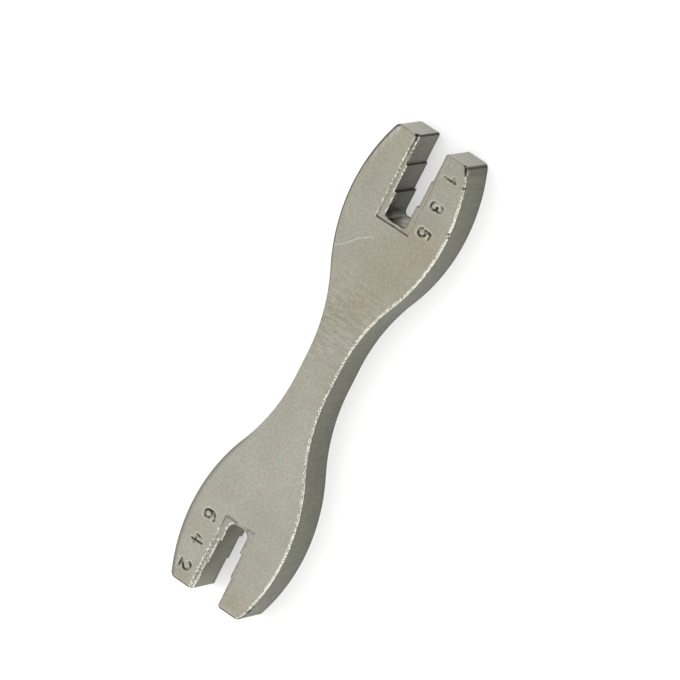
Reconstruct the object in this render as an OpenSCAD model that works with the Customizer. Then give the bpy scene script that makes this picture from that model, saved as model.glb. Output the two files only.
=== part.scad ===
// Double-ended spoke wrench, cast or forged as one flat piece and plated.
// Each end is an open slot with three stepped jaws: 1, 3 and 5 at +X, 2, 4 and 6 at -X.
// The tool lies on its plain back. +Z points out of the numbered face, and +X along the tool to jaw 1.
// The origin is on the back, at the middle of the waist.

/* [Body] */
// Length from tip to tip
overall_length = 100; // [94:1:108]
// Thickness, the same all over
thickness = 9.1; // [7:0.1:12]
// Inset and drop of the bevel round the outline of both faces
edge_bevel = 0.4; // [0.2:0.05:0.7]

/* [Heads] */
// Width of a head at its widest
head_width = 22.2; // [20:0.1:25]
// Distance from the middle of the tool to the widest point of a head
head_station = 35.3; // [33:0.1:38]
// Radius of the two arcs that bound a head
head_radius = 38.5; // [33:0.5:44]
// Radius of the outer corners at the tips
tip_corner_radius = 1.3; // [0.9:0.1:2]

/* [Waist] */
// Width of the waist at its narrowest
waist_width = 7.65; // [6:0.05:10]
// Length of the straight stretch in the middle of the waist
waist_straight = 5; // [2:0.5:9]

/* [Odd jaws] */
// Width across jaw 1, at the mouth
jaw_1_width = 6.4; // [6:0.05:7]
// Width across jaw 3, in the middle
jaw_3_width = 5.75; // [5.3:0.05:5.9]
// Width across jaw 5, at the bottom of the slot
jaw_5_width = 4.85; // [4.3:0.05:5.2]
// Length of jaw 1, from the tip to its shoulder
jaw_1_length = 6.2; // [5:0.1:7.5]
// Length of jaw 3, from shoulder to shoulder
jaw_3_length = 5.6; // [4.5:0.1:7]
// Length of jaw 5, from the shoulder to the bottom of the slot
jaw_5_length = 5.2; // [4:0.1:6.5]
// Radius of the two corners at the bottom of the odd slot
odd_corner_radius = 0.9; // [0.4:0.1:1.6]

/* [Even jaws] */
// Width across jaw 2, at the mouth
jaw_2_width = 6; // [5.6:0.05:6.6]
// Width across jaw 4, in the middle
jaw_4_width = 5.35; // [4.9:0.05:5.5]
// Width across jaw 6, at the bottom of the slot
jaw_6_width = 4.4; // [4:0.05:4.8]
// Length of jaw 2, from the tip to its shoulder
jaw_2_length = 6.2; // [5:0.1:7.5]
// Length of jaw 4, from shoulder to shoulder
jaw_4_length = 5.2; // [4.5:0.1:7]
// Length of jaw 6, from the shoulder to the bottom of the slot
jaw_6_length = 4.3; // [4:0.1:6.5]
// Radius of the two corners at the bottom of the even slot
even_corner_radius = 1.3; // [0.4:0.1:1.8]

/* [Slot surrounds] */
// Bevel on the upright edges of both mouths
mouth_bevel = 0.35; // [0.1:0.05:0.6]
// Depth of the recess pressed into the numbered face round the odd slot
odd_recess_depth = 0.4; // [0.2:0.05:0.8]
// Depth of the recess pressed into the numbered face round the even slot
even_recess_depth = 0.5; // [0.2:0.05:0.8]
// Width of the recess floor left beside a mouth
recess_side_margin = 0.65; // [0.3:0.05:1]
// Width of the recess floor left past the bottom of a slot
recess_end_margin = 0.7; // [0.3:0.05:1.2]

/* [Hidden] */
$fn = 180;

// Cutters run this far past what they cut
overrun = 2;
// An arc overshoots its tangent by this share of its radius, so it crosses its neighbour instead of just touching it
crossing_share = 0.0005;

half_length = overall_length / 2;
half_head = head_width / 2;
half_waist = waist_width / 2;
half_straight = waist_straight / 2;

// The head's arcs are centred this far across the middle line
head_arc_offset = head_radius - half_head;
// The waist's arcs are tangent to the straight stretch and to the head's arcs, which fixes their radius
waist_run = head_station - half_straight;
waist_rise = half_head - half_waist;
radius_sum = (pow(waist_run, 2) + pow(waist_rise, 2)) / (2 * waist_rise);
waist_radius = radius_sum - head_radius;
waist_arc_offset = half_waist + waist_radius;
// Where a waist arc meets a head arc
inflection = half_straight + waist_run * waist_radius / radius_sum;
half_inflection = waist_arc_offset - (waist_arc_offset + head_arc_offset) * waist_radius / radius_sum;

// A tip's corner arc touches the end face and the head's arc from inside
tip_arc_x = half_length - tip_corner_radius;
tip_arc_reach = head_radius - tip_corner_radius;
tip_arc_y = sqrt(pow(tip_arc_reach, 2) - pow(tip_arc_x - head_station, 2)) - head_arc_offset;
tip_arc_lean = asin((tip_arc_x - head_station) / tip_arc_reach);

odd_widths = [jaw_1_width, jaw_3_width, jaw_5_width];
odd_lengths = [jaw_1_length, jaw_3_length, jaw_5_length];
even_widths = [jaw_2_width, jaw_4_width, jaw_6_width];
even_lengths = [jaw_2_length, jaw_4_length, jaw_6_length];

function past_tangent(radius) = radius * (1 + crossing_share);
function sum_to(list, last) = last < 0 ? 0 : list[last] + sum_to(list, last - 1);

// Four copies, mirrored along and across the tool
module four_ways() {
    for (along = [0, 1], across = [0, 1])
        mirror([along, 0, 0])
            mirror([0, across, 0])
                children();
}

// Upright side of a solid, this far out, with both edges bevelled
function bevelled_side(reach) = [
    [reach - edge_bevel, 0],
    [reach, edge_bevel],
    [reach, thickness - edge_bevel],
    [reach - edge_bevel, thickness]
];

// Upright side of a cutter, this far out, that flares past both faces and so leaves bevelled edges
function flared_side(reach) = [
    [reach + edge_bevel + overrun, -overrun],
    [reach, edge_bevel],
    [reach, thickness - edge_bevel],
    [reach + edge_bevel + overrun, thickness + overrun]
];

// The same outline on the other side of zero, in reverse order
function mirrored(outline) = [for (i = [len(outline) - 1 : -1 : 0]) [-outline[i][0], outline[i][1]]];

// Section of a waist cutter, from the centre of its arcs out to its side
function cutter_section(radius) = concat([[0, -overrun]], flared_side(radius), [[0, thickness + overrun]]);

// Disc as thick as the tool, with both rims bevelled
module bevelled_disc(radius) {
    rotate_extrude()
        polygon(concat([[0, 0]], bevelled_side(radius), [[0, thickness]]));
}

// Head at +X before its end is cut square: the overlap of two discs
module head_blank() {
    intersection() {
        translate([head_station, head_arc_offset, 0])
            bevelled_disc(head_radius);
        translate([head_station, -head_arc_offset, 0])
            bevelled_disc(head_radius);
    }
}

// Cutter for one arc of the waist
module waist_arc_cutter() {
    translate([half_straight, waist_arc_offset, 0])
        rotate_extrude()
            polygon(cutter_section(past_tangent(waist_radius)));
}

// Cutter for the straight stretch between two arcs of the waist
module waist_straight_cutter() {
    translate([-half_straight, waist_arc_offset, 0])
        mirror([0, 1, 0])
            rotate([90, 0, 90])
                linear_extrude(waist_straight)
                    polygon(cutter_section(waist_radius));
}

// Waist between the two heads, hollowed on both sides
module waist() {
    difference() {
        translate([-inflection, -half_inflection, 0])
            cube([2 * inflection, 2 * half_inflection, thickness]);
        four_ways()
            waist_arc_cutter();
        for (across = [0, 1])
            mirror([0, across, 0])
                waist_straight_cutter();
    }
}

// Slab that squares off both tips, bevelled at its two ends
module end_limits() {
    translate([0, head_width, 0])
        rotate([90, 0, 0])
            linear_extrude(2 * head_width)
                polygon(concat(bevelled_side(half_length), mirrored(bevelled_side(half_length))));
}

// What is taken off an outer corner at a tip to round it
module tip_corner_waste() {
    reach = tip_corner_radius + overrun;
    translate([tip_arc_x, tip_arc_y, 0])
        difference() {
            translate([0, 0, -overrun])
                linear_extrude(thickness + 2 * overrun)
                    polygon([
                        [0, 0],
                        [reach, 0],
                        [reach, reach],
                        [reach * sin(tip_arc_lean), reach * cos(tip_arc_lean)]
                    ]);
            bevelled_disc(past_tangent(tip_corner_radius));
        }
}

// Slot with three jaws, each narrower than the one before it, open at +X
module stepped_slot(widths, lengths, corner_radius) {
    depth = thickness + 2 * overrun;
    innermost = len(widths) - 1;
    bottom = half_length - sum_to(lengths, innermost);
    corner_y = widths[innermost] / 2 - corner_radius;
    translate([0, 0, -overrun]) {
        for (jaw = [0 : innermost]) {
            square_from = half_length - sum_to(lengths, jaw) + (jaw == innermost ? corner_radius : 0);
            translate([square_from, -widths[jaw] / 2, 0])
                cube([half_length + overrun - square_from, widths[jaw], depth]);
        }
        translate([bottom, -corner_y, 0])
            cube([2 * corner_radius, 2 * corner_y, depth]);
        for (side = [-1, 1])
            translate([bottom + corner_radius, side * corner_y, 0])
                cylinder(h = depth, r = past_tangent(corner_radius));
    }
    for (side = [-1, 1])
        translate([half_length, side * widths[0] / 2, -overrun])
            rotate([0, 0, 45])
                cube([mouth_bevel * sqrt(2), mouth_bevel * sqrt(2), 2 * depth], center = true);
}

// Shallow recess round a slot on the numbered face, open at the tip
module slot_recess(widths, lengths, depth) {
    start = half_length - sum_to(lengths, len(lengths) - 1) - recess_end_margin;
    width = widths[0] + 2 * recess_side_margin;
    translate([start, -width / 2, thickness - depth])
        cube([half_length + overrun - start, width, depth + overrun]);
}

module wrench_body() {
    color("silver")
        difference() {
            intersection() {
                union() {
                    waist();
                    head_blank();
                    mirror([1, 0, 0])
                        head_blank();
                }
                end_limits();
            }
            four_ways()
                tip_corner_waste();
            stepped_slot(odd_widths, odd_lengths, odd_corner_radius);
            slot_recess(odd_widths, odd_lengths, odd_recess_depth);
            mirror([1, 0, 0]) {
                stepped_slot(even_widths, even_lengths, even_corner_radius);
                slot_recess(even_widths, even_lengths, even_recess_depth);
            }
        }
}

wrench_body();
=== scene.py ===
"""Looks of the spoke wrench: one plated body with worn edges, pressed recesses and stamped numbers, and
light and shade painted into its colour.

Sizes are in millimetres, as in the CAD, and become metres when the mesh is made.
+X points along the tool to jaw 1, +Y across it to the arm with the even numbers, and +Z out of the
numbered face. The photograph looks at the tool from +X, -Y and +Z.
"""

import math
from collections import namedtuple

import bpy
import numpy as np
from mathutils import Matrix, Vector, noise
from mathutils.geometry import delaunay_2d_cdt
from mathutils.kdtree import KDTree


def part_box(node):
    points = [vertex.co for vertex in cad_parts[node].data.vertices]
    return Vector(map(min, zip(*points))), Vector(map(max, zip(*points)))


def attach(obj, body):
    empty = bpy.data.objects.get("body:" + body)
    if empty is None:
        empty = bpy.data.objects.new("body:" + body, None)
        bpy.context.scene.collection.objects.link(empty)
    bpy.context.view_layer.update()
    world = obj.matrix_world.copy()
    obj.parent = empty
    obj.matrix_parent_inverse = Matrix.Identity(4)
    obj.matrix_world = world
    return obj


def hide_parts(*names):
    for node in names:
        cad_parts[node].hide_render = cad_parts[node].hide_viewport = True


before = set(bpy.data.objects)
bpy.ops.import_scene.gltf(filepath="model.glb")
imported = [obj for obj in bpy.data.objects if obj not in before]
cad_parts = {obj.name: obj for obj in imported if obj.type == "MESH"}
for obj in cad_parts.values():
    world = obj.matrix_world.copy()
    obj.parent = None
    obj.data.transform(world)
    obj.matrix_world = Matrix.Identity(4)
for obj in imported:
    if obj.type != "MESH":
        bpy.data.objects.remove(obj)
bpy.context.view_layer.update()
MM = 0.001

# Body, as in the CAD
low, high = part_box("wrench_body")
HALF_LENGTH = high.x / MM
THICKNESS = (high.z - low.z) / MM
HALF_HEAD = 11.1
HEAD_STATION = 35.3
HEAD_RADIUS = 38.5
HALF_WAIST = 3.825
HALF_STRAIGHT = 2.5
TIP_CORNER_RADIUS = 1.3
MOUTH_BEVEL = 0.35

# Slots, as in the CAD: side is 1 at +X and -1 at -X, and the jaws' widths and lengths run from the tip
# inwards
Slot = namedtuple("Slot", "side widths lengths corner_radius recess_depth")
ODD_SLOT = Slot(1, (6.4, 5.75, 4.85), (6.2, 5.6, 5.2), 0.9, 0.4)
EVEN_SLOT = Slot(-1, (6.0, 5.35, 4.4), (6.2, 5.2, 4.3), 1.3, 0.5)
SLOTS = (ODD_SLOT, EVEN_SLOT)

# Recesses: how far they reach past the slots, how wide their walls look from above, with the steep
# ones on the -Y side, and how ragged their side walls are
RECESS_SIDE_MARGIN = 0.65
RECESS_END_MARGIN = 0.7
RECESS_SIDE_WALL = 0.22
RECESS_STEEP_WALL = 0.08
RECESS_END_WALL = 0.12
RECESS_RAGGEDNESS = 0.05

# Radii of the rounded rims, with how far each varies, and of the slots' upright corners
RIM_RADIUS = 0.55
RIM_WEAR = 0.1
SLOT_RIM_RADIUS = 0.1
SLOT_RIM_WEAR = 0.2
SHOULDER_RADIUS = 0.13
MOUTH_CORNER_RADIUS = 0.15

# Rounding of the back's edges, as a share of that of the numbered face's edges
BACK_ROUNDING_SHARE = 0.5

# Room above the numbered face for the raised rims of its strokes
FACE_DROP = 0.04

# Unevenness: depth, size of its bumps, seed, and the levels over which the walls' wave fades at the rims
FACE_WAVE = 0.012
FACE_WAVE_SIZE = 3.5
FACE_WAVE_SEED = 5
BACK_WAVE_SEED = 7
WALL_WAVE = 0.02
WALL_WAVE_SIZE = 2.5
WALL_WAVE_SEED = 11
WALL_WAVE_FADE_LEVELS = 3
CHIP_SIZE = 0.9
CHIP_SEED = 1
STROKE_WAVE_SIZE = 0.8
STROKE_WAVE_SEED = 3
RAGGED_SIZE = 0.7
RAGGED_SEED = 9

# Steps between the corners of the mesh
LONGEST_STEP = 0.45
ARC_STEP = 0.32
GRID_STEP = 0.45
BACK_GRID_STEP = 1.2
NUMBER_GRID_STEP = 0.075
WALL_LEVELS = 16
ROUNDING_STEPS = 8
RECESS_STEPS = 12

# Rows over a recess's walls: how far they reach past a side wall on both sides, and where they start
# before the end wall and how far they run from there, as shares of its width
SIDE_ROWS_MARGIN = 0.06
END_ROWS_START = 0.4
END_ROWS_RUN = 1.7

# Least distance of corners from the outline, and the least share of its row's distance that a corner on
# a rounded edge has, so that rows don't cross in narrow corners
ROW_CLEARANCE = 0.01
GRID_CLEARANCE = 0.1
ROUNDING_CLEARANCE_SHARE = 0.97

# Distances at which two points of the outline, and two corners of the mesh, become one
OUTLINE_MERGE_DISTANCE = 0.001
MERGE_DISTANCE = 1e-7

# Depth of the end faces' range behind the tips
END_FACE_MARGIN = 0.15

# Strokes of the numbers. The side towards the lean gets painted shade and has the higher rim, which is
# painted paler.
STROKE_HEIGHT = 2.45
STROKE_HALF_WIDTH = 0.33
STROKE_DEPTH = 0.24
STROKE_RIM_HEIGHT = 0.09
STROKE_RIM_PLACE = 1.35 * STROKE_HALF_WIDTH
STROKE_RIM_WIDTH = 0.45 * STROKE_HALF_WIDTH
STROKE_SHIFT = 0.2 * STROKE_HALF_WIDTH
STROKE_LEAN = (0.35, 0.94)
NUMBER_REACH = STROKE_HEIGHT * 0.5 + 2.2 * STROKE_HALF_WIDTH

# Unevenness of the strokes: how hard they are struck on average, how far that varies, and its limits
STROKE_FORCE = 0.85
STROKE_FORCE_WAVE = 0.75
STROKE_FORCE_LIMITS = (0.45, 1.15)

# Digits, drawn 1 high: the step along their bowls, and their middle
DIGIT_STEP = 0.05
DIGIT_MIDDLE = (0.34, 0.5)

# Numbers: digit, x, y, how hard it is struck
NUMBERS = (
    ("1", 45.85, -6.4, 0.8),
    ("3", 40.05, -6.4, 1.0),
    ("5", 34.5, -6.35, 1.0),
    ("2", -46.45, 6.5, 0.95),
    ("4", -40.8, 6.5, 0.9),
    ("6", -35.3, 6.45, 1.0),
)

# Dents on the rim of the numbered face: x, y, radius, depth
NICKS = (
    (46.1, -9.35, 0.35, 0.16),
    (45.2, -9.6, 0.22, 0.1),
    (37.0, -10.8, 0.3, 0.14),
    (36.3, -10.95, 0.25, 0.12),
    (49.8, 3.9, 0.3, 0.25),
    (49.6, -8.15, 0.4, 0.2),
    (-33.5, 4.3, 0.3, 0.1),
    (-31.0, -10.5, 0.3, 0.08),
)

# Brownish stains on the faces: x, y, radius, strength
STAINS = (
    (24, -6, 8, 0.8),
    (16, 1, 5, 0.35),
    (32, -8, 4, 0.6),
    (-47.3, -5.3, 2.8, 1.1),
    (-49, 6, 2.2, 0.9),
    (33.5, -4.7, 1.2, 0.6),
    (-39, 8, 3, 0.3),
    (45, 6, 5, 0.35),
)

# Painted shade in upright bands on the end faces of the odd arms, along their -Y-ward edges
END_SHADE_PLACES = (3.85, -7.0)
END_SHADE_WIDTH = 0.45

# Thin painted shadow round the tips' outer corners: reach at the odd and at the even end, strength
TIP_SHADOW_REACH = (1.9, 1.1)
TIP_SHADOW = 0.38

# How much painted shade the walls of the odd and of the even slot get, beside outer walls of 1
SLOT_SHADES = (0.79, 0.73)

# Dark spots of painted shadow, in notches, dents, mouths and slot corners: place, reach along each axis,
# strength
SHADOW_SPOTS = (
    ((49.85, 3.8, 8.9), (0.4, 0.4, 1), 1.0),
    ((49.1, 3.55, 8.8), (0.5, 0.2, 0.4), 0.85),
    ((49.8, -7.6, 8.8), (0.2, 0.3, 0.6), 0.9),
    ((49.45, -7.95, 8.8), (0.35, 0.3, 0.6), 1.0),
    ((49.0, -8.25, 8.9), (0.4, 0.25, 0.6), 1.0),
    ((48.5, -8.5, 8.9), (0.35, 0.2, 0.6), 0.8),
    ((46.1, -9.4, 9), (0.22, 0.3, 1), 0.9),
    ((37.0, -10.8, 9), (0.25, 0.25, 1), 0.8),
    ((36.3, -11, 9), (0.25, 0.25, 1), 0.8),
    ((33.0, 0.6, 8.2), (0.4, 1.5, 0.5), 0.85),
    ((33.0, 1.3, 7.5), (0.4, 0.45, 0.9), 0.85),
    ((33.4, 2.2, 7.2), (0.6, 0.5, 1.8), 0.85),
    ((33.0, -1.1, 8.0), (0.4, 0.8, 0.4), 0.9),
    ((34.2, 2.4, 4.0), (0.9, 0.4, 4.5), 0.45),
    ((-45.6, 3.0, 8.2), (0.35, 0.3, 0.3), 0.7),
    ((-43.0, 2.8, 8.3), (0.3, 0.3, 0.3), 0.6),
)

# Matt residue under the rim of the even end: place, reach along each axis, strength
MATT_RESIDUE = (
    ((-46.1, -9.55, 8.2), (0.4, 0.5, 0.5), 0.85),
    ((-47.3, -9.15, 8.2), (0.75, 0.6, 0.6), 1.0),
    ((-48.5, -8.75, 8.3), (0.5, 0.5, 0.5), 0.75),
    ((-49.4, -8.3, 8.5), (0.55, 0.6, 0.45), 1.0),
)

# Paler patches: painted reflections and highlights on the tips and a painted light streak on the odd slot's
# bottom, with some rubbed plate: place, reach along each axis, strength
RUBBED_AND_HIGHLIT_PATCHES = (
    ((49.0, 7.7, 9), (0.8, 0.4, 1), 1.0),
    ((47.7, 8.3, 9), (1.0, 0.35, 1), 0.9),
    ((45.6, 9.0, 9), (1.3, 0.3, 1), 0.7),
    ((43.0, 9.65, 9), (1.6, 0.3, 1), 0.5),
    ((-49.8, 3.6, 9), (0.5, 0.5, 1), 0.9),
    ((-48.2, 3.2, 9), (0.7, 0.3, 1), 0.35),
    ((49.3, -8.75, 8.4), (0.8, 0.3, 0.5), 0.8),
    ((33, 0.0, 3.6), (0.5, 1.1, 2.8), 1.0),
    ((33, -1.2, 6.4), (0.5, 0.9, 1.5), 1.0),
    ((33.05, 1.65, 4), (0.3, 0.16, 5), 0.7),
)

# Scratch across the numbered face
SCRATCH = (
    (23.3, 8.5),
    (23.9, 7.7),
    (24.8, 6.6),
    (25.7, 5.8),
    (26.7, 5.1),
    (27.6, 3.9),
    (28.4, 2.6),
)
SCRATCH_HALF_WIDTH = 0.16
SCRATCH_DEPTH = 0.02

# Colours of the plate, and of the light and shade painted on it, linear
ODD_END_PLATE = ((0.37, 0.358, 0.295), (0.405, 0.392, 0.328))
EVEN_END_PLATE = ((0.405, 0.395, 0.337), (0.44, 0.43, 0.37))
# Colour of the stains, also used for the painted shade on the odd arms' end faces
STAIN_AND_SHADE_COLOUR = (0.375, 0.32, 0.235)
END_COLOUR = (0.308, 0.317, 0.282)
# Painted shade of the upright walls
WALL_SHADE_COLOUR = (0.144, 0.149, 0.114)
# Painted shade along the top of the walls, under the rim
UNDER_RIM_SHADE_COLOUR = (0.12, 0.115, 0.075)
# Painted shade deep in the odd slot
DEEP_SHADE_COLOUR = (0.07, 0.07, 0.062)
# Painted shade at the foot of the walls, by the floor
FOOT_SHADE_COLOUR = (0.08, 0.08, 0.07)
# Pale colour of the rubbed plate, and of the painted highlights and reflections
RUBBED_AND_HIGHLIGHT_COLOUR = (0.64, 0.637, 0.58)
FLECK_COLOUR = (0.55, 0.54, 0.47)
# Painted shade along the edges that face away from the camera and on the recess floors
EDGE_SHADE_COLOUR = (0.06, 0.06, 0.055)
# Worn plate, and the painted highlight on the rims
WORN_AND_HIGHLIGHT_COLOUR = (0.86, 0.84, 0.74)
SPECK_COLOUR = (0.1, 0.098, 0.075)
# Near black of the dirt and residue, and of the painted shade and shadows
DIRT_AND_SHADE_COLOUR = (0.028, 0.026, 0.02)

# Pairs of hues that the faces and the walls waver between, as factors
FACE_HUES = ((1.018, 0.992, 0.975), (0.988, 1.006, 1.0))
WALL_HUES = ((1.06, 1.035, 0.985), (0.94, 0.965, 0.98))

# Where the shading changes, from and to: x on the faces, and z on the walls
PLATE_CHANGE = (12, -16)
UNDER_RIM = (7.9, 8.6)
FOOT = (0.4, 1.3)

# Cuts across the waist: middle, and the distances from it over which they fade
CUTS_MIDDLE = 10
CUTS_FADE = (4, 15)

# Roughness of the plate, from and to, and where it is worn
PLATE_ROUGHNESS = (0.38, 0.5)
WORN_ROUGHNESS = 0.3

# Camera, from the fit of the outline: reach in metres, roll in degrees, the rest in millimetres
CAMERA_PLACE = Vector((454.2, -525.8, 1338.8)) * MM
CAMERA_TARGET = Vector((6.576, 0.725, 4.55)) * MM
CAMERA_ROLL = -100.2
CAMERA_LENS = 423.5
CAMERA_REACH = 20
SENSOR_WIDTH = 36

# Lights: name, then in metres its place and the length of its sides, then its power in watts
LIGHTS = (
    ("key", (0.0, 0.75, 1.4), 3.0, 17.5),
    ("low", (-0.32, -0.82, 0.5), 0.8, 1.7),
)
SURROUND_STRENGTH = 0.5

# Floor, in metres, its shade of white, and the white added to it where it is seen
FLOOR_REACH = 4.0
FLOOR_DROP = 0.00002
FLOOR_WHITE = 0.97
FLOOR_GLOW = 0.4


def smooth(share):
    """0 below 0, 1 above 1, and a smooth rise between them."""
    share = np.clip(share, 0, 1)
    return share * share * (3 - 2 * share)


def rise(value, start, run):
    """0 up to the start, and a smooth rise to 1 over the run after it."""
    return smooth((value - start) / run)


def fade(value, start, run):
    """1 up to the start, and a smooth fall to 0 over the run after it."""
    return 1 - smooth((value - start) / run)


def band(value, middle, width):
    """1 at the middle, falling off on both sides over about this width."""
    return np.exp(-(((value - middle) / width) ** 2))


def spot(points, centre, reach):
    """1 at the centre, falling off all round over the reach."""
    return np.exp(-(((points - centre) / reach) ** 2).sum(1))


def bumps(points, size, seed):
    """Smooth noise from about -1 to 1 at points, with bumps about this size."""
    shift = Vector((17.3, 5.1, 9.7)) * seed
    return np.array([noise.noise(Vector(p).to_3d() / size + shift) for p in points])


def on_circle(centre, radius, angle):
    """Point on a circle, at an angle in degrees."""
    turn = math.radians(angle)
    return centre[0] + radius * math.cos(turn), centre[1] + radius * math.sin(turn)


def arc(centre, radius, start, end, step=ARC_STEP):
    """Points on an arc from one angle to another, both included."""
    count = max(4, math.ceil(abs(math.radians(end - start)) * radius / step))
    return [on_circle(centre, radius, start + (end - start) * i / count) for i in range(count + 1)]


def straight(start, end):
    """Points on a straight line, both ends included, closer together near the ends."""
    start, end = np.array(start), np.array(end)
    length = np.hypot(*(end - start))
    count = max(1, math.ceil(length * math.pi / 2 / LONGEST_STEP))
    shares = [(1 - math.cos(math.pi * i / count)) / 2 for i in range(count + 1)]
    return [tuple(start + (end - start) * s) for s in shares]


def rounded_corner(before, here, after):
    """Points on the arc that rounds a corner (x, y, radius) between its two neighbours."""
    corner = Vector(here[:2])
    back = (Vector(before[:2]) - corner).normalized()
    ahead = (Vector(after[:2]) - corner).normalized()
    half_angle = back.angle(ahead) / 2
    reach = here[2] / math.tan(half_angle)
    centre = corner + (back + ahead).normalized() * here[2] / math.sin(half_angle)
    first = corner + back * reach - centre
    turn = math.degrees(first.angle_signed(corner + ahead * reach - centre))
    start = math.degrees(math.atan2(first.y, first.x))
    return tuple(centre + first), arc(centre, here[2], start, start - turn)


def rounded_path(corners):
    """Points along straight lines from corner to corner. A corner is (x, y, radius of its rounding)."""
    path = []
    last = corners[0][:2]
    for before, here, after in zip(corners, corners[1:], corners[2:]):
        if here[2] == 0:
            corner = Vector(here[:2])
            path += straight(last, corner)
            last = tuple(corner)
            continue
        first, curve = rounded_corner(before, here, after)
        path += straight(last, first)
        path += curve
        last = path[-1]
    return path + straight(last, corners[-1][:2])


def shoulder_places(slot):
    """Distances from the middle of the tool at which the three jaws of a slot end."""
    return HALF_LENGTH - np.cumsum(slot.lengths)


def recess_end(slot):
    """Distance from the middle of the tool to the end wall of a slot's recess."""
    return HALF_LENGTH - sum(slot.lengths) - RECESS_END_MARGIN


def recess_half_width(slot):
    """Half the width of a slot's recess."""
    return slot.widths[0] / 2 + RECESS_SIDE_MARGIN


def slot_side(slot):
    """Path from the tip's rounded corner over the mouth and shoulders to the middle of the slot's end."""
    first, second, third = (width / 2 for width in slot.widths)
    recess_side = recess_half_width(slot)
    shoulders = shoulder_places(slot)
    return rounded_path(
        [
            (HALF_LENGTH, tip_arc_y, 0),
            (HALF_LENGTH, recess_side, 0),
            (HALF_LENGTH, recess_side - RECESS_SIDE_WALL, 0),
            (HALF_LENGTH, first + MOUTH_BEVEL, MOUTH_CORNER_RADIUS),
            (HALF_LENGTH - MOUTH_BEVEL, first, MOUTH_CORNER_RADIUS),
            (shoulders[0], first, SHOULDER_RADIUS),
            (shoulders[0], second, SHOULDER_RADIUS),
            (shoulders[1], second, SHOULDER_RADIUS),
            (shoulders[1], third, SHOULDER_RADIUS),
            (shoulders[2], third, slot.corner_radius),
            (shoulders[2], 0, 0),
        ]
    )


# The same arcs as in the CAD: the waist's arcs are tangent to the straight stretch and to the head's arcs
head_arc_offset = HEAD_RADIUS - HALF_HEAD
waist_run = HEAD_STATION - HALF_STRAIGHT
waist_rise = HALF_HEAD - HALF_WAIST
waist_radius = (waist_run**2 + waist_rise**2) / (2 * waist_rise) - HEAD_RADIUS
waist_lean = math.degrees(math.asin(waist_run / (waist_radius + HEAD_RADIUS)))
tip_arc_x = HALF_LENGTH - TIP_CORNER_RADIUS
tip_arc_reach = HEAD_RADIUS - TIP_CORNER_RADIUS
tip_arc_y = math.sqrt(tip_arc_reach**2 - (tip_arc_x - HEAD_STATION) ** 2) - head_arc_offset
tip_lean = math.degrees(math.asin((tip_arc_x - HEAD_STATION) / tip_arc_reach))


def quarter_outline(slot):
    """Outline from the middle of the waist to the middle of a slot's bottom, where x and y are positive."""
    return (
        straight((0, HALF_WAIST), (HALF_STRAIGHT, HALF_WAIST))
        + arc((HALF_STRAIGHT, HALF_WAIST + waist_radius), waist_radius, -90, -90 + waist_lean)
        + arc((HEAD_STATION, -head_arc_offset), HEAD_RADIUS, 90 + waist_lean, 90 - tip_lean)
        + arc((tip_arc_x, tip_arc_y), TIP_CORNER_RADIUS, 90 - tip_lean, 0, ARC_STEP / 2)
        + slot_side(slot)
    )


def outline():
    """The whole outline as a closed loop, with the material on its left."""
    odd = np.array(quarter_outline(ODD_SLOT))
    even = np.array(quarter_outline(EVEN_SLOT))
    loop = np.concatenate([odd * (1, -1), odd[::-1], even * (-1, 1), even[::-1] * (-1, -1)])
    gaps = np.hypot(*(loop - np.roll(loop, 1, axis=0)).T)
    return loop[gaps > OUTLINE_MERGE_DISTANCE]


def inward_normals(loop):
    """Unit normals of a closed loop, into the material."""
    along = np.roll(loop, -1, axis=0) - loop
    along /= np.hypot(*along.T)[:, None]
    mean = along + np.roll(along, 1, axis=0)
    mean /= np.hypot(*mean.T)[:, None]
    return np.stack([-mean[:, 1], mean[:, 0]], 1)


def distance_to(points, path):
    """Distance from each point to the nearest place on an open path."""
    nearest = np.full(len(points), np.inf)
    for start, end in zip(path, path[1:]):
        run = end - start
        share = np.clip((points - start) @ run / (run @ run), 0, 1)
        nearest = np.minimum(nearest, np.hypot(*(points - start - share[:, None] * run).T))
    return nearest


def depth_inside(points, loop):
    """Distance from each point to a closed loop, negative outside it."""
    closed = np.concatenate([loop, loop[:1]])
    x, y = points.T
    crossings = np.zeros(len(points), int)
    for (x1, y1), (x2, y2) in zip(closed, closed[1:]):
        if y1 != y2:
            level = (y > min(y1, y2)) & (y <= max(y1, y2))
            crossings += level & (x < x1 + (y - y1) * (x2 - x1) / (y2 - y1))
    return np.where(crossings % 2 == 1, 1, -1) * distance_to(points, closed)


def recess_reach(points):
    """How far past the end wall and past the side walls of the nearer recess each point is."""
    x, y = points.T
    past_end = np.abs(x) - np.where(x > 0, *map(recess_end, SLOTS))
    past_side = np.where(x > 0, *map(recess_half_width, SLOTS)) - np.abs(y)
    return past_end, past_side


def recess_share(points):
    """1 on the floor of a recess, 0 outside it, and between them on its walls."""
    past_end, past_side = recess_reach(points)
    ragged = RECESS_RAGGEDNESS * bumps(points, RAGGED_SIZE, RAGGED_SEED)
    side_wall = np.where(points[:, 1] > 0, RECESS_SIDE_WALL, RECESS_STEEP_WALL)
    return smooth(past_end / RECESS_END_WALL) * smooth((past_side + ragged) / side_wall)


def rim_radius(points):
    """Radius to which the edge nearest to each point is rounded."""
    chips = bumps(points, CHIP_SIZE, CHIP_SEED)
    outer = RIM_RADIUS - RIM_WEAR * (0.5 + 0.5 * chips)
    inner = SLOT_RIM_RADIUS + SLOT_RIM_WEAR * smooth(0.45 + chips)
    return outer + (inner - outer) * recess_share(points)


def rounding(distance, radius):
    """How far a rounded edge falls below the face at a distance from the edge."""
    run = np.clip(radius - distance, 0, radius)
    return radius - np.sqrt(radius**2 - run**2)


def bowl(x, y, radius, start, end):
    """Round part of a digit, from one angle to another."""
    return arc((x, y), radius, start, end, DIGIT_STEP)


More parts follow.
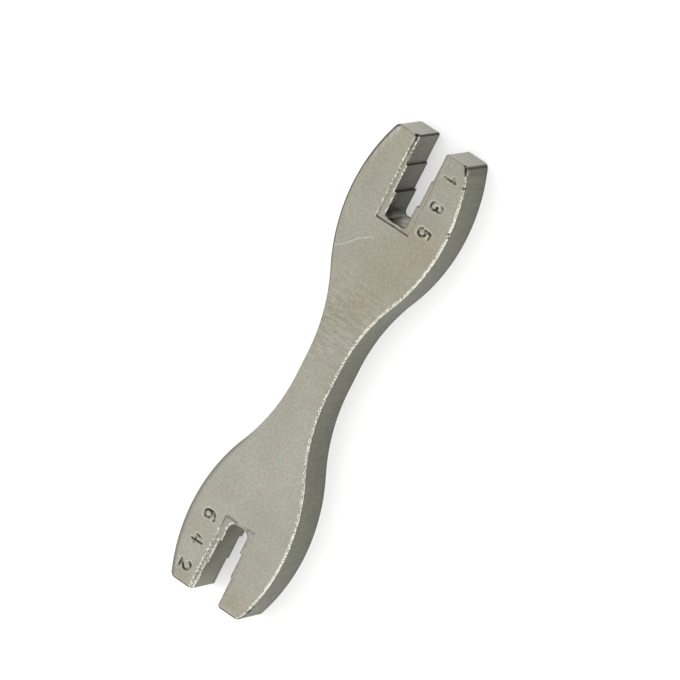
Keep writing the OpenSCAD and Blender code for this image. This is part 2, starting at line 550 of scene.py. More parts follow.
# Strokes of each digit, 1 high, as lists of points
DIGITS = {
    "1": [[(0.3, -0.04), (0.3, 0.96)], [(0.19, 0.84), (0.03, 0.69)]],
    "2": [bowl(0.34, 0.67, 0.33, 170, -35) + [(0.05, 0.02), (0.76, 0.03)]],
    "3": [bowl(0.32, 0.75, 0.27, 165, -90), bowl(0.32, 0.25, 0.29, 90, -165)],
    "4": [[(0.5, 0), (0.48, 0.97)], [(0.15, 0.8), (0.03, 0.3), (0.75, 0.29)]],
    "5": [[(0.62, 1.05), (0.15, 1.06), (0.1, 0.85)] + bowl(0.33, 0.33, 0.31, 145, -165)],
    "6": [bowl(0.33, 0.31, 0.31, 180, -180), bowl(0.5, 0.5, 0.48, 195, 72)],
}


def placed_strokes(digit, x, y):
    """Strokes of a digit at its place. The tops of all of them point to -Y."""
    middle = np.array(DIGIT_MIDDLE)
    return [(middle - np.array(stroke)) * STROKE_HEIGHT + (x, y) for stroke in DIGITS[digit]]


def distance_to_strokes(points, strokes):
    """Distance from each point to the nearest of the strokes."""
    return np.min([distance_to(points, stroke) for stroke in strokes], 0)


def struck(points):
    """Height that the numbers add at each point, and how deep in a stroke and how high on its rim it lies.

    The last two go from 0 to about 1.
    """
    height = np.zeros(len(points))
    depth = np.zeros(len(points))
    rubbed_and_lit_rims = np.zeros(len(points))
    for digit, x, y, force in NUMBERS:
        near = np.abs(points - (x, y)).max(1) < STROKE_HEIGHT
        local = points[near]
        strokes = placed_strokes(digit, x, y)
        away = distance_to_strokes(local, strokes)
        shifted = local - STROKE_SHIFT * np.array(STROKE_LEAN)
        lean = smooth(0.5 + (away - distance_to_strokes(shifted, strokes)) / (2 * STROKE_SHIFT))
        wave = bumps(local, STROKE_WAVE_SIZE, STROKE_WAVE_SEED)
        uneven = force * np.clip(STROKE_FORCE + STROKE_FORCE_WAVE * wave, *STROKE_FORCE_LIMITS)
        groove = fade(away, start=0, run=STROKE_HALF_WIDTH)
        rim = band(away, middle=STROKE_RIM_PLACE, width=STROKE_RIM_WIDTH) * (0.3 + 0.7 * lean)
        height[near] += uneven * (STROKE_RIM_HEIGHT * rim - STROKE_DEPTH * groove)
        # Depth, weighted towards the lean, gives the strokes' dirt and painted shade; the rims give a
        # painted highlight
        depth[near] = np.maximum(depth[near], groove * uneven * (0.7 + 0.3 * lean))
        rubbed_and_lit_rims[near] = np.maximum(rubbed_and_lit_rims[near], rim * uneven)
    return height, depth, rubbed_and_lit_rims


def nicked(points):
    """How far the dents take the surface down."""
    fall = np.zeros(len(points))
    for x, y, radius, depth in NICKS:
        fall += depth * spot(points, (x, y), radius)
    return fall


def scratched(points):
    """How deep in the scratch each point is, from 0 to 1."""
    return fade(distance_to(points, np.array(SCRATCH)), start=0, run=SCRATCH_HALF_WIDTH)


def staggered(xs, ys, step):
    """Grid of points in which every other row is shifted by half a step."""
    grid = np.stack(np.meshgrid(xs, ys), -1)
    grid[1::2, :, 0] += step / 2
    return grid.reshape(-1, 2)


def number_grid(x, y):
    """Close grid of points round a digit."""
    steps = np.arange(-NUMBER_REACH, NUMBER_REACH, NUMBER_GRID_STEP)
    return staggered(steps + x, steps + y, NUMBER_GRID_STEP)


def hex_grid(step):
    """Even points over the whole tool's box."""
    xs = np.arange(-HALF_LENGTH, HALF_LENGTH, step)
    ys = np.arange(-HALF_HEAD, HALF_HEAD, step * math.sqrt(3) / 2)
    return staggered(xs, ys, step)


def recess_rows():
    """Points in rows along the walls of the recesses, close together across them."""
    rows = []
    for slot in SLOTS:
        end = recess_end(slot)
        half_width = recess_half_width(slot)
        for across, wall in ((1, RECESS_SIDE_WALL), (-1, RECESS_STEEP_WALL)):
            for share in np.linspace(0, 1, RECESS_STEPS):
                x = end + (END_ROWS_RUN * share - END_ROWS_START) * RECESS_END_WALL
                y = half_width + SIDE_ROWS_MARGIN - share * (wall + 2 * SIDE_ROWS_MARGIN)
                half = straight((HALF_LENGTH, y), (x, y)) + straight((x, y), (x, 0))
                rows += [(slot.side * px, across * py) for px, py in half]
    return np.array(rows)


def scratch_rows():
    """Points in rows along the scratch, close together across it."""
    rows = []
    for start, end in zip(np.array(SCRATCH), np.array(SCRATCH)[1:]):
        run = end - start
        length = np.hypot(*run)
        across = np.array((-run[1], run[0])) / length
        for share in np.arange(0, 1, SCRATCH_HALF_WIDTH / length):
            rows += [start + run * share + across * SCRATCH_HALF_WIDTH * i / 2 for i in range(-3, 4)]
    return np.array(rows)


def tree_of(points):
    """Search tree of points in the plane."""
    tree = KDTree(len(points))
    for i, (x, y) in enumerate(points):
        tree.insert((x, y, 0), i)
    tree.balance()
    return tree


def thinned(points, fixed, gap):
    """The points that are at least this far from every fixed one."""
    tree = tree_of(fixed)
    return np.array([p for p in points if tree.find((p[0], p[1], 0))[2] >= gap])


def nearest_corners(points, loop):
    """Number of the loop's corner nearest to each point."""
    tree = tree_of(loop)
    return np.array([tree.find((x, y, 0))[1] for x, y in points])


def triangulated(loop, points):
    """Places and triangles over the inside of a loop, with these points as corners.

    The third result is the number of each of the loop's corners among the places.
    """
    corners = [Vector(p) for p in np.concatenate([loop, points])]
    count = len(loop)
    only_inside = 1
    found = delaunay_2d_cdt(corners, [], [list(range(count))], only_inside, MERGE_DISTANCE)
    places = np.array([tuple(v) for v in found[0]])
    rim = np.full(count, -1)
    for new, olds in enumerate(found[3]):
        for old in olds:
            if old < count:
                rim[old] = new
    return places, [tuple(face) for face in found[2]], rim


def rim_rows(loop, radius, steps):
    """Points inside the loop, in rows over its rounded edge."""
    normals = inward_normals(loop)
    rows = []
    for step in range(1, steps + 1):
        inset = radius * (1 - math.cos(math.pi / 2 * step / steps))
        row = loop + normals * inset[:, None]
        rows.append(row[depth_inside(row, loop) > ROUNDING_CLEARANCE_SHARE * inset])
    return np.concatenate(rows)


def numbered_face(loop):
    """Places, triangles and rim of the numbered face, with its recesses and numbers."""
    rounded = rim_rows(loop, rim_radius(loop), ROUNDING_STEPS)
    rows = np.concatenate([rounded, recess_rows(), scratch_rows()])
    rows = rows[depth_inside(rows, loop) > ROW_CLEARANCE]
    numbers = np.concatenate([number_grid(x, y) for _, x, y, _ in NUMBERS])
    numbers = numbers[(depth_inside(numbers, loop) > RIM_RADIUS) & (recess_share(numbers) == 0)]
    numbers = thinned(numbers, rows, NUMBER_GRID_STEP / 2)
    grid = hex_grid(GRID_STEP)
    grid = grid[depth_inside(grid, loop) > GRID_CLEARANCE]
    grid = thinned(grid, np.concatenate([rows, numbers, loop]), GRID_STEP / 2)
    return triangulated(loop, np.concatenate([rows, numbers, grid]))


def back_face(loop):
    """Places, triangles and rim of the plain back."""
    rows = rim_rows(loop, BACK_ROUNDING_SHARE * rim_radius(loop), ROUNDING_STEPS // 2)
    grid = hex_grid(BACK_GRID_STEP)
    grid = grid[depth_inside(grid, loop) > RIM_RADIUS]
    grid = thinned(grid, rows, BACK_GRID_STEP / 3)
    return triangulated(loop, np.concatenate([rows, grid]))


def face_wave(points, seed):
    """Slight unevenness of the faces."""
    return FACE_WAVE * (1 + bumps(points, FACE_WAVE_SIZE, seed))


def upper_height(points, loop):
    """Height of the numbered face at each point."""
    inside = np.maximum(depth_inside(points, loop), 0)
    recess_depth = np.where(points[:, 0] > 0, ODD_SLOT.recess_depth, EVEN_SLOT.recess_depth)
    height = THICKNESS - FACE_DROP - face_wave(points, FACE_WAVE_SEED)
    height += struck(points)[0] - SCRATCH_DEPTH * scratched(points)
    height -= recess_depth * recess_share(points) + rounding(inside, rim_radius(points)) + nicked(points)
    return np.minimum(height, THICKNESS)


def lower_height(points, loop):
    """Height of the back at each point."""
    inside = np.maximum(depth_inside(points, loop), 0)
    radius = BACK_ROUNDING_SHARE * rim_radius(points)
    return rounding(inside, radius) + face_wave(points, BACK_WAVE_SEED)


def wall_rows(loop, top, bottom):
    """Rows of places down the upright walls, from the rim of the numbered face to the rim of the back."""
    normals = inward_normals(loop)
    rows = []
    for level in range(1, WALL_LEVELS):
        share = (1 - math.cos(math.pi * level / WALL_LEVELS)) / 2
        height = top + (bottom - top) * share
        places = np.column_stack([loop, height])
        dip = WALL_WAVE * (1 + bumps(places, WALL_WAVE_SIZE, WALL_WAVE_SEED))
        dip = dip * smooth(level / WALL_WAVE_FADE_LEVELS)
        dip = dip * smooth((WALL_LEVELS - level) / WALL_WAVE_FADE_LEVELS)
        rows.append(np.column_stack([loop + normals * dip[:, None], height]))
    return rows


class Surface:
    """Corners of the mesh, and how each of them lies on the tool.

    places is in millimetres, walls is 1 on the upright walls and 0 on the faces, and rim_height is the
    height of the numbered face at each corner of the loop. inside is the distance from the outline,
    and facing_x, facing_y, radius and below tell which way the nearest edge faces, how it is rounded
    and how far below it a corner lies.
    """

    def __init__(self, places, walls, loop, rim_height):
        self.places = places
        self.walls = walls
        self.flat = places[:, :2]
        self.x, self.y = self.flat.T
        self.inside = np.maximum(depth_inside(self.flat, loop), 0)
        nearest = nearest_corners(self.flat, loop)
        self.facing_x, self.facing_y = -inward_normals(loop)[nearest].T
        self.radius = rim_radius(loop)[nearest]
        self.below = np.maximum(rim_height[nearest] - places[:, 2], 0)
        self.upper = places[:, 2] > THICKNESS / 2
        self.past_end, self.past_side = recess_reach(self.flat)
        self.in_recess = recess_share(self.flat)
        faces_end = rise(np.abs(self.facing_x), start=0.8, run=0.15)
        self.at_end = faces_end * (np.abs(self.x) > HALF_LENGTH - END_FACE_MARGIN)
        self.faces_even_end = rise(-self.facing_x, start=0.5, run=0.5)

    def spots(self, marks):
        """How strongly the strongest of these soft marks covers each place, from 0 to 1."""
        cover = np.zeros(len(self.places))
        for centre, reach, strength in marks:
            cover = np.maximum(cover, strength * spot(self.places, centre, reach))
        return cover


def upright_edges():
    """Upright edges and corners that get painted shade with some dirt: side of the tool, x, y, radius,
    strength.
    """
    first, second, third = ODD_SLOT.widths
    shoulders = shoulder_places(ODD_SLOT)
    corner_middle = TIP_CORNER_RADIUS * 0.7
    edges = [
        (ODD_SLOT.side, shoulders[0], (first + second) / 4, 0.22, 1),
        (ODD_SLOT.side, shoulders[1], (second + third) / 4, 0.27, 1),
    ]
    for slot in SLOTS:
        mouth = (slot.widths[0] + MOUTH_BEVEL) / 2
        edges.append((slot.side, HALF_LENGTH - MOUTH_BEVEL / 2, mouth, 0.23, 1))
        edges.append((slot.side, tip_arc_x + corner_middle, tip_arc_y + corner_middle, 0.25, 0.85))
    return edges


def upright_shade(surface):
    """Dark lines of painted shade with some dirt along upright edges, and a thinner painted shadow all
    round the tips' outer corners, from 0 to 1.
    """
    grime_and_shade = np.zeros(len(surface.x))
    for side, x, y, radius, strength in upright_edges():
        away = np.hypot(side * surface.x - x, np.abs(surface.y) - y)
        grime_and_shade = np.maximum(grime_and_shade, strength * fade(away, start=radius / 2, run=radius))
    for slot, reach in zip(SLOTS, TIP_SHADOW_REACH):
        across = np.abs(surface.y) - tip_arc_y - TIP_CORNER_RADIUS
        away = np.hypot(slot.side * surface.x - tip_arc_x, across)
        grime_and_shade = np.maximum(grime_and_shade, TIP_SHADOW * fade(away, start=0, run=reach))
    return grime_and_shade


def rim_wear_and_highlight(surface):
    """Wear and painted highlight on the rims of the numbered face: most where they face -Y, less where they
    face +X.
    """
    x = surface.x
    tilt = np.degrees(np.arcsin(np.clip(1 - surface.inside / surface.radius, 0, 1)))
    outer = rise(tilt, start=2, run=11) * fade(tilt, start=70, run=15) * (surface.below < 0.01)
    inner = fade(surface.inside, start=0.12, run=0.22) * fade(surface.below, start=0.08, run=0.12)
    steady = rise(x, start=4, run=6) * fade(x, start=40, run=4) + rise(-x, start=34, run=3)
    broad = rise(np.abs(x), start=6, run=6)
    outer *= (1 - surface.in_recess) * (0.64 + 0.12 * broad + 0.24 * np.clip(steady, 0, 1))
    inner *= surface.in_recess * np.where(x > 0, 0.72, 0.95)
    front = rise(-surface.facing_y, start=0, run=0.5) * (outer + inner)
    return front + 0.4 * rise(surface.facing_x, start=0.5, run=0.5) * outer


def recess_edge_wear_and_highlight(surface):
    """Worn line with painted highlight along the recesses' upper edges on the +Y side."""
    line = band(surface.past_side, middle=0.02, width=0.19) * ((surface.y > 0) & (surface.past_end > 0))
    odd = 0.55 + 0.2 * rise(surface.x, start=41, run=3)
    even = rise(surface.past_end, start=0.5, run=2.5)
    return line * (1 - surface.walls) * np.where(surface.x > 0, odd, even)


def rubbed_and_highlit_lines(surface, rubbed_and_lit_rims):
    """Pale lines: stroke rims, rubbed and painted as highlight, the scratch, and painted highlights along
    the recesses' -Y edges and the even end.
    """
    recess_line = 0.4 * band(surface.past_side, middle=0.02, width=0.09)
    recess_line = recess_line * (surface.y < 0) * (surface.past_end > 0)
    end_line = 0.7 * band(surface.inside, middle=0.6, width=0.12)
    end_line = end_line * surface.faces_even_end * (1 - surface.in_recess)
    lines = np.maximum.reduce([rubbed_and_lit_rims, scratched(surface.flat), recess_line, end_line])
    return lines * (1 - surface.walls) * surface.upper


def dirt_and_shade_in_hollows(surface, stroke):
    """Dirt and painted shade in the strokes, painted shade at the foot of the recesses' end walls, and
    painted shade with some dirt on upright edges.
    """
    # Painted shade at the foot of the recesses' end walls
    shaded_foot = band(surface.past_end, middle=0.06, width=0.1) * (surface.past_side > -0.05)
    shaded_foot = shaded_foot * np.where(surface.x > 0, 0.68, 0.2) * (1 - surface.walls)
    hollows = np.maximum(0.85 * stroke * (1 - surface.walls), shaded_foot) * surface.upper
    return np.maximum(hollows, upright_shade(surface) * surface.walls)


def edge_shade_lines(surface):
    """Painted shade: dark lines along the edges that face away from the camera, and a darker strip on the
    recess floors.
    """
    x, inside, in_recess = surface.x, surface.inside, surface.in_recess
    facing_back = rise(surface.facing_y, start=0, run=0.4)
    start = 0.25 + 0.08 * rise(x, start=38, run=5)
    line = np.where(x > 0, 1.0, 0.6) * fade(inside, start, run=0.25)
    soft = 0.45 * fade(inside, start=0.4, run=0.6) * (x < 0)
    edge_shade = (1 - in_recess) * np.maximum(line, soft) * facing_back * rise(np.abs(x), start=14, run=8)
    even_end = surface.faces_even_end * (1 - in_recess)
    edge_shade = np.maximum(edge_shade, even_end * fade(inside, start=0.22, run=0.2))
    inner = 0.45 * in_recess * fade(inside, start=0.1, run=0.25) * facing_back
    edge_shade = np.maximum(edge_shade, inner) * fade(surface.below, start=0.02, run=0.2)
    strip = in_recess * (surface.y > 0) * np.where(x > 0, 0.42 * rise(x, start=43, run=4), 0.15)
    return np.maximum(edge_shade, strip * (1 - surface.walls)) * surface.upper


def stains_and_end_shade(surface):
    """Brownish stains on the faces, and brownish painted shade in bands on the end faces of the odd arms.
    """
    stain_and_end_shade = np.zeros(len(surface.x))
    for *centre, radius, strength in STAINS:
        stain_and_end_shade += strength * spot(surface.flat, centre, radius)
    end_shade = sum(band(surface.y, middle=y, width=END_SHADE_WIDTH) for y in END_SHADE_PLACES)
    return stain_and_end_shade * (1 - surface.walls) + end_shade * surface.at_end * (surface.x > 0)


def painted_wall_shades(surface):
    """How much painted shade the upright walls get, and how much more of it deep in the odd slot."""
    x = surface.x
    mouth = np.where(x > 0, ODD_SLOT.widths[0], EVEN_SLOT.widths[0]) / 2
    slot_length = np.where(x > 0, sum(ODD_SLOT.lengths), sum(EVEN_SLOT.lengths))
    run_in = (HALF_LENGTH - np.abs(x)) / slot_length
    in_slot = (np.abs(surface.y) < mouth + 0.1) * (run_in < 1.05)
    # The walls get painted shade, with less of it in the slots
    side = surface.walls * (1 - surface.at_end) * np.where(in_slot, np.where(x > 0, *SLOT_SHADES), 1)
    deep_shade = surface.walls * in_slot * smooth(run_in * 0.95 - 0.1)
    return side, deep_shade * (rise(np.abs(surface.facing_y), start=0.4, run=0.5) * (x > 0))


def marks_on(surface):
    """Attributes of the mesh's corners, from 0 to 1."""
    _, stroke, rubbed_and_lit_rims = struck(surface.flat)
    # Painted shadows, and real residue under the even end's rim
    shadows_and_residue = surface.spots(SHADOW_SPOTS + MATT_RESIDUE)
    wear_and_highlight = np.maximum(rim_wear_and_highlight(surface), recess_edge_wear_and_highlight(surface)) * surface.upper
    side, deep_shade = painted_wall_shades(surface)
    return {
        "wear_and_highlight": wear_and_highlight * (1 - shadows_and_residue),
        "grime_and_shade": np.maximum(dirt_and_shade_in_hollows(surface, stroke), shadows_and_residue),
        "stain_and_end_shade": stains_and_end_shade(surface),
        "edge_shade": edge_shade_lines(surface),
        "side": side,
        "deep_shade": deep_shade,
        "end": surface.at_end * surface.walls,
        "rubbed_and_highlit": np.maximum(surface.spots(RUBBED_AND_HIGHLIT_PATCHES), rubbed_and_highlit_lines(surface, rubbed_and_lit_rims)),
        "matt": surface.spots(MATT_RESIDUE),
    }


def wall_faces(rings, count):
    """Four-cornered faces between each ring of corners and the next one down."""
    faces = []
    for above, below in zip(rings, rings[1:]):
        for i in range(count):
            j = (i + 1) % count
            faces.append((int(above[i]), int(below[i]), int(below[j]), int(above[j])))
    return faces


def build_mesh():
    """The whole body as one closed mesh, with dirt, wear and the painted light and shade as attributes of
    its corners.
    """
    loop = outline()
    upper, upper_faces, upper_rim = numbered_face(loop)
    lower, lower_faces, lower_rim = back_face(loop)
    top = upper_height(upper, loop)
    bottom = lower_height(lower, loop)
    wall_places = wall_rows(loop, top[upper_rim], bottom[lower_rim])
    places = np.concatenate([np.column_stack([upper, top]), np.column_stack([lower, bottom])] + wall_places)
    count = len(loop)
    first_wall = len(upper) + len(lower)
    rings = [upper_rim]
    rings += [np.arange(count) + first_wall + i * count for i in range(len(wall_places))]
    rings += [lower_rim + len(upper)]
    faces = list(upper_faces)
    faces += [tuple(len(upper) + i for i in reversed(face)) for face in lower_faces]
    faces += wall_faces(rings, count)
    mesh = bpy.data.meshes.new("wrench")
    mesh.from_pydata((places * MM).tolist(), [], faces)
    mesh.validate()
    mesh.shade_smooth()

    walls = np.zeros(len(places))
    walls[np.concatenate(rings)] = 1
    surface = Surface(places, walls, loop, top[upper_rim])
    for name, values in marks_on(surface).items():
        attribute = mesh.attributes.new(name, "FLOAT", "POINT")
        attribute.data.foreach_set("value", values.astype(np.float32))
    return mesh


def is_output(value):
    """Whether a value comes out of another node."""
    return isinstance(value, bpy.types.NodeSocket)


class Shader:
    """Nodes of one material. A value may be a number or another node's output."""

    def __init__(self, name):
        self.material = bpy.data.materials.new(name)
        self.material.use_nodes = True
        self.tree = self.material.node_tree
        self.tree.nodes.clear()

    def node(self, kind, inputs=None, **settings):
        """Adds a node and gives its outputs. inputs gives its sockets by name or number."""
        node = self.tree.nodes.new(kind)
        for name, value in settings.items():
            setattr(node, name, value)
        for socket, value in (inputs or {}).items():
            if is_output(value):
                self.tree.links.new(value, node.inputs[socket])
            else:
                node.inputs[socket].default_value = value
        return node.outputs

    def finish(self, surface):
        """Makes this shader the material's surface."""
        self.node("ShaderNodeOutputMaterial", {"Surface": surface})
        return self.material

    def maths(self, operation, a, b=0.0, clamp=False):
        """One step of arithmetic. With clamp, its outcome is kept from 0 to 1."""
        return self.node("ShaderNodeMath", {0: a, 1: b}, operation=operation, use_clamp=clamp)[0]

    def product(self, a, b, clamp=False):
        return self.maths("MULTIPLY", a, b, clamp)

    def total(self, a, b, clamp=False):
        return self.maths("ADD", a, b, clamp)

    def ramp(self, value, span, outcome=(0.0, 1.0)):
        """Smooth change from the first outcome to the second while the value crosses the span."""
        inputs = {0: value, 1: span[0], 2: span[1], 3: outcome[0], 4: outcome[1]}
        return self.node("ShaderNodeMapRange", inputs, interpolation_type="SMOOTHSTEP")[0]

    def mix(self, share, a, b, blend="MIX"):
        """Colour a, blended with colour b by this share."""
        a, b = (colour if is_output(colour) else (*colour, 1) for colour in (a, b))
        return self.node("ShaderNodeMix", {0: share, 6: a, 7: b}, data_type="RGBA", blend_type=blend)[2]

    def tinted(self, colour, tint, mask, strength=1.0):
        """Colour with a tint over it where the mask is 1."""
        share = mask if strength == 1 else self.product(mask, strength)
        return self.mix(share, colour, tint)

    def multiplied(self, colour, factor):
        """Colour times another one, channel by channel."""
        return self.mix(1.0, colour, factor, "MULTIPLY")

    def mark(self, name):
        """Attribute of the mesh."""
        return self.node("ShaderNodeAttribute", attribute_name=name)["Fac"]


class PlateShader(Shader):
    """Shader of the plate, with the places, textures and parts of the tool that it uses more than once."""

    def __init__(self, name):
        super().__init__(name)
        place = self.node("ShaderNodeTexCoord")["Object"]
        inputs = {0: place, "Scale": 1 / MM}
        self.place = self.node("ShaderNodeVectorMath", inputs, operation="SCALE")[0]
        self.x, _, self.z = self.node("ShaderNodeSeparateXYZ", {0: self.place})
        self.pebbles = self.clouds(size=0.5, detail=3)
        self.grit = self.clouds(size=0.2, detail=2)
        self.cuts = self.clouds(size=0.42, detail=3, stretch=(1, 0.2, 1))
        self.streaks = self.clouds(size=0.45, detail=2, stretch=(1, 1, 0.12))
        # Upright walls, weighted by their painted shade; the walls' grain goes there too
        self.side = self.mark("side")
        self.faces = self.maths("SUBTRACT", 1.0, self.side)
        off_middle = self.maths("ABSOLUTE", self.maths("SUBTRACT", self.x, CUTS_MIDDLE))
        self.waist = self.product(self.ramp(off_middle, span=CUTS_FADE, outcome=(1.0, 0.0)), self.faces)

    def clouds(self, size, detail, stretch=(1, 1, 1)):
        """Cloudy texture from 0 to 1, with clouds about this size."""
        inputs = {0: self.place, 1: stretch}
        scaled = self.node("ShaderNodeVectorMath", inputs, operation="MULTIPLY")[0]
        inputs = {"Vector": scaled, "Scale": 1 / size, "Detail": detail}
        return self.node("ShaderNodeTexNoise", inputs)["Fac"]


def face_colour(shader):
    """Plate on the faces: paler towards the even end, stained, with painted shade on the odd arms' end
    faces, and wavering in hue.
    """
    shades = shader.ramp(shader.clouds(size=9, detail=3), span=(0.35, 0.65))
    odd_end = shader.mix(shades, *ODD_END_PLATE)
    even_end = shader.mix(shades, *EVEN_END_PLATE)
    plate = shader.mix(shader.ramp(shader.x, span=PLATE_CHANGE), odd_end, even_end)
    uneven = shader.ramp(shader.clouds(size=2.5, detail=3), span=(0.3, 0.6), outcome=(0.5, 1.0))
    # Stains, and painted shade on the end faces of the odd arms
    stained_and_shaded = shader.product(shader.mark("stain_and_end_shade"), uneven, clamp=True)
    plate = shader.tinted(plate, STAIN_AND_SHADE_COLOUR, stained_and_shaded, 0.6)
    hue = shader.ramp(shader.clouds(size=2.2, detail=3), span=(0.38, 0.62))
    return shader.multiplied(plate, shader.mix(hue, *FACE_HUES))


def wall_colour(shader, plate):
    """Plate with darker end faces, painted shade on the walls, and painted highlights and rubbed places on
    all of them.
    """
    plate = shader.tinted(plate, END_COLOUR, shader.mark("end"), 0.6)
    # Painted shade on the walls
    plate = shader.tinted(plate, WALL_SHADE_COLOUR, shader.side, 0.92)
    patches = shader.mix(shader.ramp(shader.clouds(size=1.7, detail=3), span=(0.36, 0.64)), *WALL_HUES)
    plate = shader.mix(shader.side, plate, shader.multiplied(plate, patches))
    # Painted shade along the top of the walls
    under_rim_shade = shader.product(shader.side, shader.ramp(shader.z, span=UNDER_RIM, outcome=(0.0, 0.85)))
    plate = shader.tinted(plate, UNDER_RIM_SHADE_COLOUR, under_rim_shade)
    # More painted shade deep in the odd slot
    plate = shader.tinted(plate, DEEP_SHADE_COLOUR, shader.mark("deep_shade"), 0.76)
    # Painted shade at the foot of the walls
    shaded_foot = shader.product(shader.side, shader.ramp(shader.z, span=FOOT, outcome=(0.3, 0.0)))
    plate = shader.tinted(plate, FOOT_SHADE_COLOUR, shaded_foot)
    # Rubbed plate, and painted highlights and reflections
    return shader.tinted(plate, RUBBED_AND_HIGHLIGHT_COLOUR, shader.mark("rubbed_and_highlit"), 0.85)


def grained(shader, plate):
    """Plate with its grain, light flecks on the faces, and lines of painted shade."""

    def speckled(texture, amount):
        """The texture, from minus the amount to plus the amount."""
        return shader.ramp(texture, span=(0.3, 0.7), outcome=(-amount, amount))

    grain = shader.total(speckled(shader.grit, 0.06), speckled(shader.pebbles, 0.12))
    grain = shader.total(grain, shader.product(speckled(shader.cuts, 0.12), shader.waist))
    grain = shader.total(grain, shader.product(speckled(shader.streaks, 0.08), shader.side))
    grain = shader.total(grain, 1.0)
    grey = shader.node("ShaderNodeCombineColor", {0: grain, 1: grain, 2: grain})[0]
    plate = shader.multiplied(plate, grey)
    flecks = shader.ramp(shader.clouds(size=0.4, detail=1), span=(0.66, 0.76), outcome=(0.0, 0.45))
    plate = shader.tinted(plate, FLECK_COLOUR, shader.product(flecks, shader.faces))
    # Painted shade along edges and on the recess floors
    return shader.tinted(plate, EDGE_SHADE_COLOUR, shader.mark("edge_shade"), 0.9)


def worn_and_highlit_share(shader):
    """Where the plate is worn bright and painted with highlights, in dots."""
    wear_and_highlight = shader.mark("wear_and_highlight")
    dots = shader.ramp(shader.clouds(size=0.34, detail=2), span=(0.38, 0.62), outcome=(-0.4, 0.4))
    worn_and_highlit = shader.ramp(shader.total(wear_and_highlight, dots), span=(0.5, 0.9))
    return shader.product(worn_and_highlit, shader.ramp(wear_and_highlight, span=(0.1, 0.4)), clamp=True)


def soiled_and_shaded(shader, colour):
    """Colour with dark specks on its worn rims, and dirt, residue and painted shade and shadows over all.
    """
    specks = shader.ramp(shader.clouds(size=0.26, detail=1), span=(0.66, 0.74), outcome=(0.0, 0.6))
    specks = shader.product(specks, shader.ramp(shader.mark("wear_and_highlight"), span=(0.3, 0.6)))
    colour = shader.tinted(colour, SPECK_COLOUR, specks)
    # Dirt and residue, with painted shade and shadows
    dirt_and_shade = shader.ramp(shader.mark("grime_and_shade"), span=(0.12, 0.75), outcome=(0.0, 0.97))
    patchy = shader.ramp(shader.clouds(size=0.4, detail=2), span=(0.25, 0.5), outcome=(0.7, 1.0))
    dirt_and_shade = shader.product(dirt_and_shade, patchy)
    return shader.tinted(colour, DIRT_AND_SHADE_COLOUR, dirt_and_shade)


def relief(shader):
    """Normals bent by the grain."""
    height = shader.total(shader.product(shader.pebbles, 0.07), shader.product(shader.grit, 0.016))
    height = shader.total(height, shader.product(shader.product(shader.cuts, 0.05), shader.waist))
    height = shader.total(height, shader.product(shader.product(shader.streaks, 0.012), shader.side))
    return shader.node("ShaderNodeBump", {"Strength": 1.0, "Distance": MM, "Height": height})[0]


def nickel_plate():
    """Satin nickel plate over a pebbled casting, brighter where worn and where highlights are painted, with
    dirt and painted shade in its hollows and on its walls.
    """
    shader = PlateShader("nickel_plate")
    worn_and_highlit = worn_and_highlit_share(shader)
    plate = grained(shader, wall_colour(shader, face_colour(shader)))
    # Wear and painted highlights, then dirt and painted shade
    colour = soiled_and_shaded(shader, shader.tinted(plate, WORN_AND_HIGHLIGHT_COLOUR, worn_and_highlit))
    roughness = shader.ramp(shader.pebbles, span=(0.3, 0.7), outcome=PLATE_ROUGHNESS)
    inputs = {0: worn_and_highlit, 2: roughness, 3: WORN_ROUGHNESS}
    roughness = shader.node("ShaderNodeMix", inputs, data_type="FLOAT")[0]
    matt = shader.mark("matt")
    inputs = {
        "Base Color": colour,
        "Metallic": shader.ramp(matt, span=(0.15, 0.5), outcome=(1.0, 0.0)),
        "Roughness": roughness,
        "Specular IOR Level": shader.ramp(matt, span=(0.15, 0.5), outcome=(0.5, 0.0)),
        "Normal": relief(shader),
    }
    return shader.finish(shader.node("ShaderNodeBsdfPrincipled", inputs)[0])


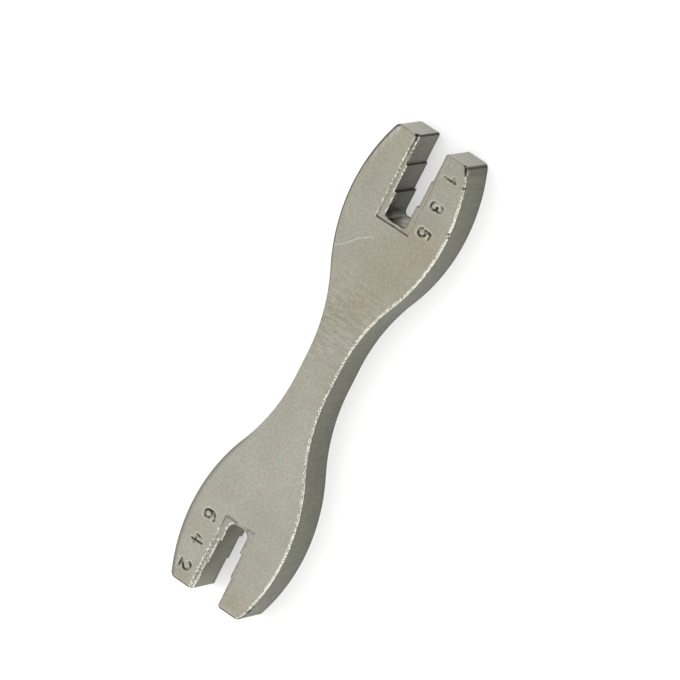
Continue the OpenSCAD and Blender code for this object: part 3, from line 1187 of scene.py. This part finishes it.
def floor_material():
    """Matt white, with a little light of its own where it is seen, so it shows as white."""
    shader = Shader("floor")
    white = (FLOOR_WHITE, FLOOR_WHITE, FLOOR_WHITE, 1)
    matt = shader.node("ShaderNodeBsdfDiffuse", {"Color": white})[0]
    rays = shader.node("ShaderNodeLightPath")
    seen = shader.total(rays["Is Camera Ray"], rays["Is Glossy Ray"])
    seen = shader.total(seen, rays["Is Transmission Ray"], clamp=True)
    glow = shader.product(seen, FLOOR_GLOW)
    light = shader.node("ShaderNodeEmission", {"Color": (1, 1, 1, 1), "Strength": glow})[0]
    return shader.finish(shader.node("ShaderNodeAddShader", {0: matt, 1: light})[0])


def add_piece(name, mesh, material):
    """Object with its mesh and its one material."""
    piece = bpy.data.objects.new(name, mesh)
    bpy.context.scene.collection.objects.link(piece)
    mesh.materials.append(material)
    return piece


def add_floor():
    """Large plain floor under the tool."""
    reach = FLOOR_REACH
    mesh = bpy.data.meshes.new("floor")
    corners = [(-reach, -reach, 0), (reach, -reach, 0), (reach, reach, 0), (-reach, reach, 0)]
    mesh.from_pydata(corners, [], [(0, 1, 2, 3)])
    floor = add_piece("floor", mesh, floor_material())
    floor.location.z = -FLOOR_DROP


def add_light(name, place, size, power):
    """Square area light that points at the tool."""
    light = bpy.data.lights.new(name, "AREA")
    light.size = size
    light.energy = power
    lamp = bpy.data.objects.new(name, light)
    lamp.location = place
    lamp.rotation_euler = (-Vector(place)).to_track_quat("-Z", "Y").to_euler()
    bpy.context.scene.collection.objects.link(lamp)


def add_world():
    """Even white light from all round."""
    world = bpy.data.worlds.new("studio")
    world.use_nodes = True
    background = world.node_tree.nodes["Background"].inputs
    background["Color"].default_value = (1, 1, 1, 1)
    background["Strength"].default_value = SURROUND_STRENGTH
    bpy.context.scene.world = world


def add_camera():
    """Long lens at the photograph's angle."""
    data = bpy.data.cameras.new("camera")
    data.lens = CAMERA_LENS
    data.sensor_width = SENSOR_WIDTH
    data.clip_end = CAMERA_REACH
    camera = bpy.data.objects.new("camera", data)
    turn = (CAMERA_TARGET - CAMERA_PLACE).to_track_quat("-Z", "Y").to_matrix().to_4x4()
    roll = Matrix.Rotation(math.radians(CAMERA_ROLL), 4, "Z")
    camera.matrix_world = Matrix.Translation(CAMERA_PLACE) @ turn @ roll
    bpy.context.scene.collection.objects.link(camera)
    bpy.context.scene.camera = camera


add_camera()
add_floor()
add_world()
for name, place, size, power in LIGHTS:
    add_light(name, place, size, power)

wrench = add_piece("wrench", build_mesh(), nickel_plate())
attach(wrench, "root")
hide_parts("wrench_body")

bpy.context.scene.view_settings.view_transform = "Standard"
